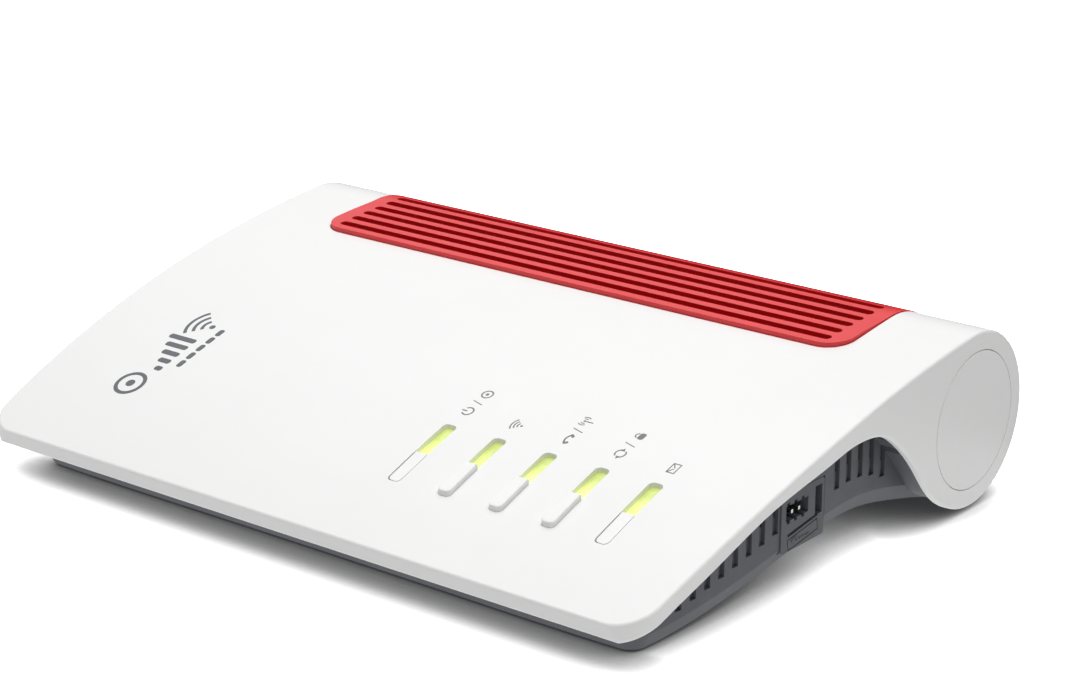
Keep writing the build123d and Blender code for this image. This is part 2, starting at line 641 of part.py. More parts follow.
def make_power_inlet():
    body = box(POWER_X - POWER_HALF, POWER_X + POWER_HALF, PANEL_Y - POWER_DEEP, PANEL_Y, BOARD_TOP,
               BOARD_TOP + POWER_H)
    return body - rod_y(POWER_X, POWER_Z, PANEL_Y - POWER_REACH, PANEL_Y + 1, POWER_BORE)


def make_power_pin():
    return rod_y(POWER_X, POWER_Z, PANEL_Y - POWER_REACH, PANEL_Y - 1, POWER_PIN)


def make_port_panel():
    """Plate across the bay, cut out for every socket."""
    panel = box(-BAY_HALF + 0.1, BAY_HALF - 0.1, PANEL_Y - PANEL_T, PANEL_Y, BAY_LOW + 0.1, BAY_HIGH - 0.1)
    z = BOARD_TOP
    holes = [(LAN_LEFT, LAN_RIGHT, z, z + JACK_H), (PHONE_LEFT, PHONE_RIGHT, z, z + PHONE_JACK_H),
             (USB_X - USB_W / 2 - USB_T, USB_X + USB_W / 2 + USB_T, z + 0.1, z + USB_H + 2 * USB_T + 0.1),
             (POWER_X - POWER_HALF, POWER_X + POWER_HALF, z, z + POWER_H)]
    for x0, x1, z0, z1 in holes:
        panel -= box(x0 - 0.1, x1 + 0.1, PANEL_Y - 5, PANEL_Y + 1, z0 - 0.1, z1 + 0.1)
    return panel - rod_y(COAX_X, COAX_Z, PANEL_Y - 5, PANEL_Y + 1, COAX_NECK + 0.1)


# ---- socket in the side wall ----
def make_side_socket():
    """Plate in the wall with a mouth, a pocket, and a framed field that leans with the tray's edge."""
    edge = wall_x(SIDE_REAR)
    face = box(edge - WALL, edge, SIDE_FRONT, SIDE_REAR, SIDE_LOW, SIDE_HIGH)
    face = fillet(face.edges().filter_by(Axis.X), 1.2)
    body = face + box(SIDE_DEEP, edge - WALL, SIDE_FRONT + 0.6, SIDE_REAR - 0.6, SIDE_BODY_LOW,
                      SIDE_HIGH - 0.5)
    half, low, high = SIDE_NOTCH
    cuts = [box(edge - 6, edge + 1, *SIDE_POCKET), box(edge - 9, edge + 1, *SIDE_MOUTH)]
    cuts += [box(edge - 9, edge + 1, y - half, y + half, low, high) for y in SIDE_CONTACTS]
    y, z, lean = SIDE_FIELD
    cuts.append(Pos(edge, y, z + 2.8) * Rot(lean, 0, 0) * Box(1.6, 14.6, 0.9))
    cuts.append(Pos(edge, y, z) * Rot(lean, 0, 0) * (Box(0.8, 14.6, 3.4) - Box(1, 14, 2.8)))
    return body - cuts


def make_side_contacts():
    edge = wall_x(SIDE_REAR)
    return Compound([box(edge - 8.5, edge - 1.2, y - 0.45, y + 0.45, 20.2, 21.2) for y in SIDE_CONTACTS])


def make_feet():
    return Compound([rod(x, y, 0, top, FOOT_R) for x, y, top in FEET])


def make_label():
    x0, x1, y0, y1 = LABEL
    return box(x0 + LABEL_T, x1 - LABEL_T, y0 + LABEL_T, y1 - LABEL_T, LABEL_Z - LABEL_T, LABEL_Z)


def export(name, shape):
    export_step(shape, f"parts/{name}.step")
    print(name, round(shape.volume, 1))


os.makedirs("parts", exist_ok=True)
export("top_shell", make_top_shell())
export("vent_grille", make_grille())
export("bottom_housing", make_bottom_housing())
export("port_panel", make_port_panel())
for side, name in ((-1, "end_cap_left"), (1, "end_cap_right")):
    export(name, end_disc(side, DISC_GAP))
for name in KEYED:
    export(f"key_{name}", make_key(name))
    export(f"plunger_{name}", make_plunger(name))
for name in ("power", "info"):
    export(f"inlay_{name}", make_inlay(name))
export("light_guides", make_light_guides())
export("status_leds", make_status_leds())
export("tact_switches", make_switches())
export("main_board", make_board())
export("board_screws", make_screws(BOARD_POSTS, BOARD_TOP, BOARD_HEAD_R, BOARD_HEAD_H, BOARD_Z - 5,
                                   BOARD_SCREW_R, True))
export("case_screws", make_screws(POSTS, SEAT_Z, SCREW_HEAD_R, SCREW_HEAD_H, POST_FOOT + 3, SCREW_R, False))
export("main_chip", box(-12, 12, -4, 20, BOARD_TOP, BOARD_TOP + 1.5))
export("thermal_pad", box(-11, 11, -3, 19, BOARD_TOP + 1.5, SINK_Z))
export("heat_sink", make_heat_sink())
export("memory_chips", Compound([box(x - 5, x + 5, -40, -27, BOARD_TOP, BOARD_TOP + 1.1) for x in (-22, -6)]))
export("tuner_can", shield_can(-74, 30, 38, 30))
export("radio_cans", Compound([shield_can(72, 24, 36, 28), shield_can(-66, -26, 36, 28)]))
export("antenna_left", make_antenna(-1))
export("antenna_right", make_antenna(1))
export("antenna_leads", make_antenna_leads())
export("coax_connector", make_coax())
export("coax_insulator", make_coax_insulator())
export("coax_nut", make_coax_nut())
export("lan_sockets", socket_block(LAN_LEFT, LAN_RIGHT, JACK_H, LAN_XS, LAN_W, LAN_H, MOUTH_Z, LAN_LATCH))
export("lan_contacts", socket_contacts(LAN_XS, 8, MOUTH_Z + LAN_H))
export("phone_sockets", socket_block(PHONE_LEFT, PHONE_RIGHT, PHONE_JACK_H, PHONE_XS, PHONE_W, PHONE_H,
                                     PHONE_MOUTH_Z, PHONE_LATCH))
export("phone_contacts", socket_contacts(PHONE_XS, 4, PHONE_MOUTH_Z + PHONE_H))
export("usb_shell", make_usb_shell())
export("usb_tongue", make_usb_tongue())
export("power_inlet", make_power_inlet())
export("power_pin", make_power_pin())
export("side_phone_socket", make_side_socket())
export("side_contacts", make_side_contacts())
export("rubber_feet", make_feet())
export("type_label", make_label())
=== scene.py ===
import json
from math import atan2, cos, pi, radians, sin

import bmesh
import bpy
from mathutils import Matrix, Vector
from mathutils.bvhtree import BVHTree


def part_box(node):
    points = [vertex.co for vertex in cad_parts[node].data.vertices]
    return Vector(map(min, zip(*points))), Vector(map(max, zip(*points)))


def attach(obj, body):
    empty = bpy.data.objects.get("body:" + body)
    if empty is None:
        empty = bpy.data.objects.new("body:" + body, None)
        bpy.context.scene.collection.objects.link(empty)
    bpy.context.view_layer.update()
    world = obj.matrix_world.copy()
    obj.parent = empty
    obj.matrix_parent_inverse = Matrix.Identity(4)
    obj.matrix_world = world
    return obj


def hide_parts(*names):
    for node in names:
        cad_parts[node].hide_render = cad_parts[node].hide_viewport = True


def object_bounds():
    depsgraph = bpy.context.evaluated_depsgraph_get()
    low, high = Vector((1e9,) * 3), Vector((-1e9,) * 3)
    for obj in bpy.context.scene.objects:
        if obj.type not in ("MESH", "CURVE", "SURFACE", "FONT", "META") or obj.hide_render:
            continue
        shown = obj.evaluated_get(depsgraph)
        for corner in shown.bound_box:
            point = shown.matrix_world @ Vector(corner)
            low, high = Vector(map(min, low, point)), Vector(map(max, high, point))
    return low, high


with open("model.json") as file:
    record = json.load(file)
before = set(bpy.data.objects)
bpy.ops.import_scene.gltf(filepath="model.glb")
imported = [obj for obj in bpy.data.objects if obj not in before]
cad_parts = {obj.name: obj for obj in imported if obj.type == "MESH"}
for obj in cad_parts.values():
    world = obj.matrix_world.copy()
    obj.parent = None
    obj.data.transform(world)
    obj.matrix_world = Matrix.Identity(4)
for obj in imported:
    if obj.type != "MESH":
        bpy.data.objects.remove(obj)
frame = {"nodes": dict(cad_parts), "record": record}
nodes = frame["nodes"]
record = frame["record"]
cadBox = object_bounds()
mm = 0.001
slotOf = {part["node"]: part["material_slot"] for part in record["subparts"]}
mountOf = {mount["name"]: mount for mount in record["mounts"]}
print("frame loaded:", len(nodes), "nodes")


# shared shader effects
def makeGroup(name, inputs, outputs):
    group = bpy.data.node_groups.new(name, "ShaderNodeTree")
    for label, kind, value in inputs:
        socket = group.interface.new_socket(label, in_out="INPUT", socket_type="NodeSocket" + kind)
        if value is not None:
            socket.default_value = value
    for label, kind in outputs:
        group.interface.new_socket(label, in_out="OUTPUT", socket_type="NodeSocket" + kind)
    return group, group.nodes.new("NodeGroupInput"), group.nodes.new("NodeGroupOutput")


def addNode(tree, kind, settings=None, values=None, links=None):
    # one node with its settings, plain socket values and incoming links
    node = tree.nodes.new("ShaderNode" + kind)
    for name, value in (settings or {}).items():
        setattr(node, name, value)
    for name, value in (values or {}).items():
        node.inputs[name].default_value = value
    for name, source in (links or {}).items():
        tree.links.new(source, node.inputs[name])
    return node


def mathNode(tree, operation, first, second=None):
    node = tree.nodes.new("ShaderNodeMath")
    node.operation = operation
    for socket, value in zip(node.inputs, (first, second)):
        if isinstance(value, (int, float)):
            socket.default_value = value
        elif value is not None:
            tree.links.new(value, socket)
    return node.outputs[0]


def makeMouldGrain():
    # fine texture of a moulded surface: soft noise over a cellular bite
    group, start, end = makeGroup(
        "mouldGrain",
        [("Coordinates", "Vector", None), ("Grains Per Metre", "Float", 3000.0),
         ("Cell Share", "Float", 0.4)],
        [("Height", "Float"), ("Pits", "Float")])
    place, scale, share = start.outputs[0], start.outputs[1], start.outputs[2]
    soft = addNode(group, "TexNoise", values={"Detail": 3.0, "Roughness": 0.62},
                   links={"Vector": place, "Scale": scale})
    cell = addNode(group, "TexVoronoi",
                   links={"Vector": place, "Scale": mathNode(group, "MULTIPLY", scale, 0.7)})
    pits = mathNode(group, "SUBTRACT", 1.0, cell.outputs["Distance"])
    mixed = addNode(group, "Mix", links={0: share, 2: soft.outputs[0], 3: pits})
    group.links.new(mixed.outputs[0], end.inputs[0])
    group.links.new(pits, end.inputs[1])
    return group


def makeHandling():
    # broad, faint unevenness: mould flow, dust and finger marks
    group, start, end = makeGroup(
        "handling",
        [("Coordinates", "Vector", None), ("Patch Size", "Float", 0.03), ("Contrast", "Float", 0.5)],
        [("Mask", "Float")])
    place, size, contrast = start.outputs[0], start.outputs[1], start.outputs[2]
    broad = addNode(group, "TexNoise", values={"Detail": 4.0, "Roughness": 0.55},
                    links={"Vector": place, "Scale": mathNode(group, "DIVIDE", 1.0, size)})
    fine = addNode(group, "TexNoise", values={"Detail": 5.0, "Roughness": 0.7},
                   links={"Vector": place, "Scale": mathNode(group, "DIVIDE", 6.0, size)})
    both = addNode(group, "Mix", values={0: 0.35}, links={2: broad.outputs[0], 3: fine.outputs[0]})
    spread = mathNode(group, "SUBTRACT", both.outputs[0], 0.5)
    gain = mathNode(group, "ADD", 1.0, mathNode(group, "MULTIPLY", contrast, 4.0))
    pushed = mathNode(group, "MULTIPLY", spread, gain)
    centred = mathNode(group, "ADD", pushed, 0.5)
    clamp = addNode(group, "Clamp", links={"Value": centred})
    group.links.new(clamp.outputs[0], end.inputs[0])
    return group


def makeDrawnLines():
    # fine lines left by drawing, extruding or brushing metal; the coordinates come in already stretched
    group, start, end = makeGroup(
        "drawnLines",
        [("Coordinates", "Vector", None), ("Lines Per Metre", "Float", 4000.0)],
        [("Height", "Float"), ("Streaks", "Float")])
    place, scale = start.outputs[0], start.outputs[1]
    fine = addNode(group, "TexNoise", values={"Detail": 4.0, "Roughness": 0.7},
                   links={"Vector": place, "Scale": scale})
    wide = addNode(group, "TexNoise", values={"Detail": 2.0},
                   links={"Vector": place, "Scale": mathNode(group, "MULTIPLY", scale, 0.12)})
    both = addNode(group, "Mix", values={0: 0.4}, links={2: fine.outputs[0], 3: wide.outputs[0]})
    group.links.new(both.outputs[0], end.inputs[0])
    group.links.new(wide.outputs[0], end.inputs[1])
    return group


mouldGrain = makeMouldGrain()
handling = makeHandling()
drawnLines = makeDrawnLines()


def placeGroup(tree, group, values, links):
    node = tree.nodes.new("ShaderNodeGroup")
    node.node_tree = group
    for name, value in values.items():
        node.inputs[name].default_value = value
    for name, source in links.items():
        tree.links.new(source, node.inputs[name])
    return node


def startMaterial(name, look):
    # a material whose Principled shader already has the plain values of its look
    material = bpy.data.materials.new(name)
    material.use_nodes = True
    tree = material.node_tree
    shader = tree.nodes["Principled BSDF"]
    for socket, value in look.get("shader", {}).items():
        shader.inputs[socket].default_value = value
    coordinates = addNode(tree, "TexCoord").outputs["Object"]
    return material, tree, shader, coordinates


def blendColours(tree, mask, first, second):
    node = addNode(tree, "Mix", {"data_type": "RGBA"}, {6: (*first, 1), 7: (*second, 1)}, {0: mask})
    return node.outputs[2]


def printOver(tree, mask, under, colour):
    # a plain colour over another one, where the mask is white
    node = addNode(tree, "Mix", {"data_type": "RGBA"}, {7: (*colour, 1)}, {0: mask, 6: under})
    return node.outputs[2]


def patchMask(tree, place, size, contrast):
    group = placeGroup(tree, handling, {"Patch Size": size, "Contrast": contrast}, {"Coordinates": place})
    return group.outputs[0]


def spreadRoughness(tree, shader, mask, low, high):
    node = addNode(tree, "MapRange", values={"To Min": low, "To Max": high}, links={"Value": mask})
    tree.links.new(node.outputs[0], shader.inputs["Roughness"])


def addBump(tree, shader, height, depth):
    bump = addNode(tree, "Bump", values={"Strength": 1.0, "Distance": depth}, links={"Height": height})
    tree.links.new(bump.outputs[0], shader.inputs["Normal"])


# finishes
def mouldedPlastic(name, look):
    material, tree, shader, place = startMaterial(name, look)
    patches = patchMask(tree, place, look["patch"], look["contrast"])
    grain = placeGroup(tree, mouldGrain, {"Grains Per Metre": look["grains"], "Cell Share": look["cells"]},
                       {"Coordinates": place})
    speckle = mathNode(tree, "MULTIPLY", grain.outputs["Height"], look["speckle"])
    mask = addNode(tree, "Clamp", links={"Value": mathNode(tree, "ADD", patches, speckle)}).outputs[0]
    tree.links.new(blendColours(tree, mask, look["colour"], look["shade"]), shader.inputs["Base Color"])
    spreadRoughness(tree, shader, patches, *look["roughness"])
    addBump(tree, shader, grain.outputs["Height"], look["depth"])
    return material


plasticLooks = {
    "shell_white": {"colour": (0.86, 0.86, 0.855), "shade": (0.84, 0.84, 0.835), "patch": 0.06,
                    "contrast": 0.4, "grains": 2600.0, "cells": 0.3, "speckle": 0.15,
                    "roughness": (0.36, 0.44), "depth": 0.000012,
                    "shader": {"Subsurface Weight": 0.06, "Subsurface Radius": (0.002, 0.0018, 0.0016)}},
    "key_white": {"colour": (0.865, 0.865, 0.86), "shade": (0.845, 0.845, 0.84), "patch": 0.008,
                  "contrast": 0.5, "grains": 3200.0, "cells": 0.2, "speckle": 0.1,
                  "roughness": (0.3, 0.4), "depth": 0.000008,
                  "shader": {"Subsurface Weight": 0.08, "Subsurface Radius": (0.002, 0.0018, 0.0016)}},
    "grille_red": {"colour": (0.72, 0.003, 0.008), "shade": (0.68, 0.002, 0.006), "patch": 0.03,
                   "contrast": 0.4, "grains": 2800.0, "cells": 0.35, "speckle": 0.2,
                   "roughness": (0.34, 0.42), "depth": 0.000012, "shader": {"Specular IOR Level": 0.7}},
    "housing_grey": {"colour": (0.115, 0.12, 0.135), "shade": (0.1, 0.104, 0.117), "patch": 0.04,
                     "contrast": 0.5, "grains": 1900.0, "cells": 0.6, "speckle": 0.5,
                     "roughness": (0.5, 0.62), "depth": 0.00004},
    "panel_grey": {"colour": (0.075, 0.078, 0.086), "shade": (0.062, 0.064, 0.07), "patch": 0.03,
                   "contrast": 0.5, "grains": 2100.0, "cells": 0.5, "speckle": 0.4,
                   "roughness": (0.48, 0.6), "depth": 0.00003},
    "switch_black": {"colour": (0.03, 0.03, 0.032), "shade": (0.024, 0.024, 0.026), "patch": 0.004,
                     "contrast": 0.5, "grains": 3000.0, "cells": 0.4, "speckle": 0.3,
                     "roughness": (0.4, 0.55), "depth": 0.00001},
    "plunger_brown": {"colour": (0.22, 0.09, 0.035), "shade": (0.17, 0.065, 0.025), "patch": 0.003,
                      "contrast": 0.5, "grains": 3000.0, "cells": 0.3, "speckle": 0.2,
                      "roughness": (0.4, 0.5), "depth": 0.000008},
    "chip_black": {"colour": (0.028, 0.028, 0.03), "shade": (0.02, 0.02, 0.021), "patch": 0.006,
                   "contrast": 0.6, "grains": 4200.0, "cells": 0.5, "speckle": 0.5,
                   "roughness": (0.45, 0.6), "depth": 0.000012},
    "pad_grey": {"colour": (0.42, 0.47, 0.53), "shade": (0.37, 0.42, 0.48), "patch": 0.008,
                 "contrast": 0.6, "grains": 1500.0, "cells": 0.4, "speckle": 0.4,
                 "roughness": (0.65, 0.8), "depth": 0.00003},
    "lead_black": {"colour": (0.03, 0.03, 0.032), "shade": (0.022, 0.022, 0.024), "patch": 0.01,
                   "contrast": 0.5, "grains": 2500.0, "cells": 0.3, "speckle": 0.3,
                   "roughness": (0.42, 0.55), "depth": 0.00001},
    "insulator_white": {"colour": (0.84, 0.82, 0.76), "shade": (0.78, 0.75, 0.68), "patch": 0.004,
                        "contrast": 0.5, "grains": 3600.0, "cells": 0.2, "speckle": 0.2,
                        "roughness": (0.35, 0.5), "depth": 0.000008,
                        "shader": {"Subsurface Weight": 0.2, "Subsurface Radius": (0.002, 0.0018, 0.0014)}},
    "socket_black": {"colour": (0.035, 0.036, 0.038), "shade": (0.027, 0.028, 0.03), "patch": 0.012,
                     "contrast": 0.5, "grains": 2300.0, "cells": 0.45, "speckle": 0.4,
                     "roughness": (0.4, 0.52), "depth": 0.00002},
    "socket_grey": {"colour": (0.21, 0.22, 0.235), "shade": (0.18, 0.19, 0.2), "patch": 0.012,
                    "contrast": 0.5, "grains": 2300.0, "cells": 0.45, "speckle": 0.4,
                    "roughness": (0.4, 0.52), "depth": 0.00002},
    "usb_tongue": {"colour": (0.8, 0.81, 0.83), "shade": (0.74, 0.75, 0.77), "patch": 0.006,
                   "contrast": 0.5, "grains": 2800.0, "cells": 0.3, "speckle": 0.2,
                   "roughness": (0.35, 0.45), "depth": 0.00001},
    "foot_rubber": {"colour": (0.05, 0.05, 0.054), "shade": (0.075, 0.073, 0.07), "patch": 0.004,
                    "contrast": 0.7, "grains": 1600.0, "cells": 0.6, "speckle": 0.5,
                    "roughness": (0.7, 0.9), "depth": 0.00005},
}


def metal(name, look):
    # drawn, extruded or plated metal, streaked along one axis
    material, tree, shader, place = startMaterial(name, look)
    stretch = addNode(tree, "Mapping", values={"Scale": look["stretch"]}, links={"Vector": place}).outputs[0]
    lines = placeGroup(tree, drawnLines, {"Lines Per Metre": look["lines"]}, {"Coordinates": stretch})
    patches = patchMask(tree, place, look["patch"], 0.6)
    tone = mathNode(tree, "MULTIPLY", patches, lines.outputs["Streaks"])
    tree.links.new(blendColours(tree, tone, look["colour"], look["shade"]), shader.inputs["Base Color"])
    both = mathNode(tree, "MULTIPLY", mathNode(tree, "ADD", patches, lines.outputs["Streaks"]), 0.5)
    spreadRoughness(tree, shader, both, *look["roughness"])
    addBump(tree, shader, lines.outputs["Height"], look["depth"])
    return material


metalLooks = {
    "screw_steel": {"colour": (0.62, 0.62, 0.64), "shade": (0.42, 0.42, 0.44), "stretch": (1, 1, 0.2),
                    "lines": 2600.0, "patch": 0.003, "roughness": (0.22, 0.42), "depth": 0.000008,
                    "shader": {"Metallic": 1.0}},
    "sink_aluminium": {"colour": (0.74, 0.75, 0.77), "shade": (0.58, 0.59, 0.61), "stretch": (1, 0.04, 1),
                       "lines": 2400.0, "patch": 0.02, "roughness": (0.3, 0.48), "depth": 0.00001,
                       "shader": {"Metallic": 1.0}},
    "can_tin": {"colour": (0.7, 0.7, 0.69), "shade": (0.5, 0.5, 0.49), "stretch": (0.1, 1, 1),
                "lines": 2200.0, "patch": 0.01, "roughness": (0.24, 0.42), "depth": 0.000006,
                "shader": {"Metallic": 1.0}},
    "connector_nickel": {"colour": (0.78, 0.76, 0.71), "shade": (0.6, 0.58, 0.53), "stretch": (1, 0.3, 1),
                         "lines": 2600.0, "patch": 0.004, "roughness": (0.14, 0.3), "depth": 0.000004,
                         "shader": {"Metallic": 1.0}},
    "contact_gold": {"colour": (0.86, 0.6, 0.22), "shade": (0.7, 0.46, 0.15), "stretch": (1, 0.1, 1),
                     "lines": 3000.0, "patch": 0.003, "roughness": (0.15, 0.3), "depth": 0.000003,
                     "shader": {"Metallic": 1.0}},
}


def boardFinish(name, look):
    # solder mask over copper tracks, with round plated holes
    material, tree, shader, place = startMaterial(name, look)
    tracks = addNode(tree, "TexBrick", {"offset": 0.37, "squash": 1.4, "squash_frequency": 3},
                     {"Scale": look["tracks"], "Mortar Size": 0.035, "Mortar Smooth": 0.1, "Brick Width": 0.9,
                      "Row Height": 0.22}, {"Vector": place})
    holes = addNode(tree, "TexVoronoi", values={"Scale": look["holes"], "Randomness": 0.8},
                    links={"Vector": place})
    hole = mathNode(tree, "LESS_THAN", holes.outputs["Distance"], 0.13)
    patches = patchMask(tree, place, 0.01, 0.5)
    mask = addNode(tree, "Mix", links={0: tracks.outputs["Fac"], 2: patches}, values={3: 1.0}).outputs[0]
    masked = blendColours(tree, mask, look["colour"], look["shade"])
    tree.links.new(printOver(tree, hole, masked, look["plating"]), shader.inputs["Base Color"])
    tree.links.new(hole, shader.inputs["Metallic"])
    spreadRoughness(tree, shader, patches, 0.25, 0.4)
    height = mathNode(tree, "ADD", mathNode(tree, "MULTIPLY", tracks.outputs["Fac"], 0.6),
                      mathNode(tree, "MULTIPLY", hole, -0.8))
    addBump(tree, shader, height, 0.00003)
    return material


boardLooks = {
    "board_green": {"colour": (0.012, 0.11, 0.045), "shade": (0.03, 0.2, 0.08),
                    "plating": (0.8, 0.62, 0.3), "tracks": 260.0, "holes": 190.0},
    "antenna_board": {"colour": (0.02, 0.13, 0.07), "shade": (0.05, 0.25, 0.12),
                      "plating": (0.8, 0.62, 0.3), "tracks": 150.0, "holes": 120.0},
}


def lampFinish(name, look):
    # diffusing plastic lit from below: bright at the front end, dimmer and greener towards the rear end,
    # where the dimming is painted shade from the recess
    material, tree, shader, place = startMaterial(name, look)
    along = addNode(tree, "SeparateXYZ", links={"Vector": place}).outputs["Y"]
    # painted shade: the glow darkens from the front end towards the recessed rear end
    reach = addNode(tree, "MapRange", {"interpolation_type": "SMOOTHSTEP"},
                    {"From Min": look["front"], "From Max": look["rear"]}, {"Value": along}).outputs[0]
    cloud = patchMask(tree, place, look["cloud"], 0.5)
    drift = mathNode(tree, "MULTIPLY", mathNode(tree, "SUBTRACT", cloud, 0.5), 0.5)
    rearShadeAndCloud = mathNode(tree, "ADD", reach, drift)
    mask = addNode(tree, "Clamp", links={"Value": rearShadeAndCloud}).outputs[0]
    glow = blendColours(tree, mask, look["bright"], look["shadedRear"])
    tree.links.new(glow, shader.inputs["Emission Color"])
    grain = placeGroup(tree, mouldGrain, {"Grains Per Metre": 2400.0, "Cell Share": 0.2},
                       {"Coordinates": place})
    tree.links.new(blendColours(tree, cloud, look["colour"], look["shade"]), shader.inputs["Base Color"])
    spreadRoughness(tree, shader, cloud, 0.18, 0.3)
    addBump(tree, shader, grain.outputs["Height"], 0.000006)
    return material


windowLow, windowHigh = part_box("light_guides")
# the dim rear colour of each window is painted shade from the recess wall
lampLooks = {
    "lamp_window": {"front": windowLow.y, "rear": windowHigh.y, "cloud": 0.006,
                    "bright": (0.82, 0.95, 0.26), "shadedRear": (0.4, 0.47, 0.1), "colour": (0.3, 0.36, 0.12),
                    "shade": (0.24, 0.3, 0.08), "shader": {"Emission Strength": 0.85}},
    "lamp_chip": {"front": windowLow.y, "rear": windowHigh.y, "cloud": 0.002, "bright": (0.9, 1.0, 0.3),
                  "shadedRear": (0.7, 0.9, 0.2), "colour": (0.5, 0.55, 0.2), "shade": (0.4, 0.45, 0.15),
                  "shader": {"Emission Strength": 2.0}},
}


def labelFinish(name, look):
    # blank type label: silver film with a printed frame and plain bars
    material, tree, shader, place = startMaterial(name, look)
    low, high = look["edges"]
    centre = (low + high) / 2
    size = high - low
    flat = addNode(tree, "Mapping", {"vector_type": "POINT"},
                   {"Location": (-centre.x, -centre.y, 0)}, {"Vector": place})
    parts = addNode(tree, "SeparateXYZ", links={"Vector": flat.outputs[0]})
    acrossX = mathNode(tree, "ABSOLUTE", parts.outputs["X"])
    acrossY = mathNode(tree, "ABSOLUTE", parts.outputs["Y"])
    outside = mathNode(tree, "MAXIMUM", mathNode(tree, "GREATER_THAN", acrossX, size.x / 2 - look["margin"]),
                       mathNode(tree, "GREATER_THAN", acrossY, size.y / 2 - look["margin"]))
    rim = mathNode(tree, "MAXIMUM",
                   mathNode(tree, "GREATER_THAN", acrossX, size.x / 2 - look["margin"] + look["line"]),
                   mathNode(tree, "GREATER_THAN", acrossY, size.y / 2 - look["margin"] + look["line"]))
    frameLine = mathNode(tree, "SUBTRACT", outside, rim)
    rows = mathNode(tree, "FRACT", mathNode(tree, "MULTIPLY", parts.outputs["Y"], look["rows"]))
    inRow = mathNode(tree, "LESS_THAN", rows, 0.4)
    within = mathNode(tree, "MULTIPLY", mathNode(tree, "LESS_THAN", parts.outputs["X"], size.x * 0.05),
                      mathNode(tree, "SUBTRACT", 1.0, outside))
    clear = mathNode(tree, "LESS_THAN", acrossY, size.y / 2 - 2.5 * look["margin"])
    bars = mathNode(tree, "MULTIPLY", mathNode(tree, "MULTIPLY", inRow, within), clear)
    inset = mathNode(tree, "GREATER_THAN", parts.outputs["X"], -size.x / 2 + 2.5 * look["margin"])
    printed = mathNode(tree, "MAXIMUM", frameLine, mathNode(tree, "MULTIPLY", bars, inset))
    patches = patchMask(tree, place, 0.02, 0.4)
    film = blendColours(tree, patches, look["colour"], look["shade"])
    tree.links.new(printOver(tree, printed, film, look["ink"]), shader.inputs["Base Color"])
    spreadRoughness(tree, shader, patches, 0.3, 0.42)
    addBump(tree, shader, printed, 0.00001)
    return material


labelLook = {"edges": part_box("type_label"), "margin": 0.0012, "line": 0.0003, "rows": 300.0,
             "colour": (0.74, 0.74, 0.75), "shade": (0.68, 0.68, 0.69), "ink": (0.16, 0.16, 0.17)}


def inkFinish(name, look):
    # pad-printed ink, a little thinner in places
    material, tree, shader, place = startMaterial(name, look)
    patches = patchMask(tree, place, 0.003, 0.6)
    tree.links.new(blendColours(tree, patches, look["colour"], look["shade"]), shader.inputs["Base Color"])
    spreadRoughness(tree, shader, patches, 0.42, 0.55)
    return material


inkLooks = {
    "markInk": {"colour": (0.07, 0.078, 0.09), "shade": (0.09, 0.098, 0.11)},
    "captionInk": {"colour": (0.13, 0.13, 0.134), "shade": (0.16, 0.16, 0.164)},
}

materialOf = {name: mouldedPlastic(name, look) for name, look in plasticLooks.items()}
materialOf.update({name: metal(name, look) for name, look in metalLooks.items()})
materialOf.update({name: boardFinish(name, look) for name, look in boardLooks.items()})
materialOf.update({name: lampFinish(name, look) for name, look in lampLooks.items()})
materialOf["label_silver"] = labelFinish("label_silver", labelLook)
inkOf = {name: inkFinish(name, look) for name, look in inkLooks.items()}
for nodeName, piece in nodes.items():
    piece.data.materials.clear()
    piece.data.materials.append(materialOf[slotOf[nodeName]])
print("finishes ready:", len(materialOf) + len(inkOf))


def makePiece(name, bm, material, body, replaced=(), smooth=True):
    mesh = bpy.data.meshes.new(name)
    bm.to_mesh(mesh)
    bm.free()
    mesh.materials.append(material)
    for polygon in mesh.polygons:
        polygon.use_smooth = smooth
    piece = bpy.data.objects.new(name, mesh)
    bpy.context.scene.collection.objects.link(piece)
    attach(piece, body)
    if replaced:
        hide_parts(*replaced)
    return piece


# Each sign is drawn flat in millimetres, u to its right and v upwards, and then laid on the surface.
def drawBar(bm, start, end, width):
    run = Vector(end) - Vector(start)
    middle = (Vector(start) + Vector(end)) / 2
    place = Matrix.Translation((middle.x, middle.y, 0)) @ Matrix.Rotation(atan2(run.y, run.x), 4, "Z")
    made = bmesh.ops.create_grid(bm, x_segments=1, y_segments=1, size=0.5,
                                 matrix=place @ Matrix.Diagonal((run.length + width, width, 1, 1)))
    bmesh.ops.bevel(bm, geom=made["verts"], offset=width * 0.4, segments=4, affect="VERTICES", profile=0.5,
                    material=-1)


def drawArc(bm, centre, radius, width, first, last):
    # first and last are angles in degrees, counted from the right
    turn = last - first
    steps = max(6, int(abs(turn) / 9))
    way = Vector((cos(radians(first)), sin(radians(first)), 0))
    middle = Vector((*centre, 0))
    inner = bm.verts.new(middle + way * (radius - width / 2))
    outer = bm.verts.new(middle + way * (radius + width / 2))
    edge = bm.edges.new((inner, outer))
    bmesh.ops.spin(bm, geom=[inner, outer, edge], cent=middle, axis=(0, 0, 1), angle=radians(turn),
                   steps=steps, use_merge=abs(turn) >= 360)


def drawDot(bm, centre, radius, segments=20, turn=0.0):
    place = Matrix.Translation((*centre, 0)) @ Matrix.Rotation(radians(turn), 4, "Z")
    bmesh.ops.create_circle(bm, cap_ends=True, segments=segments, radius=radius, matrix=place)


def powerSign(bm, u, s):
    drawArc(bm, (u, 0), 0.42 * s, 0.12 * s, 130, 410)
    drawBar(bm, (u, 0.12 * s), (u, 0.48 * s), 0.12 * s)


def plugSign(bm, u, s):
    drawArc(bm, (u, 0), 0.42 * s, 0.12 * s, 0, 360)
    drawDot(bm, (u, 0), 0.14 * s)


def wavesSign(bm, u, s):
    drawDot(bm, (u, -0.38 * s), 0.1 * s)
    for radius in (0.32, 0.58, 0.84):
        drawArc(bm, (u, -0.38 * s), radius * s, 0.11 * s, 48, 132)


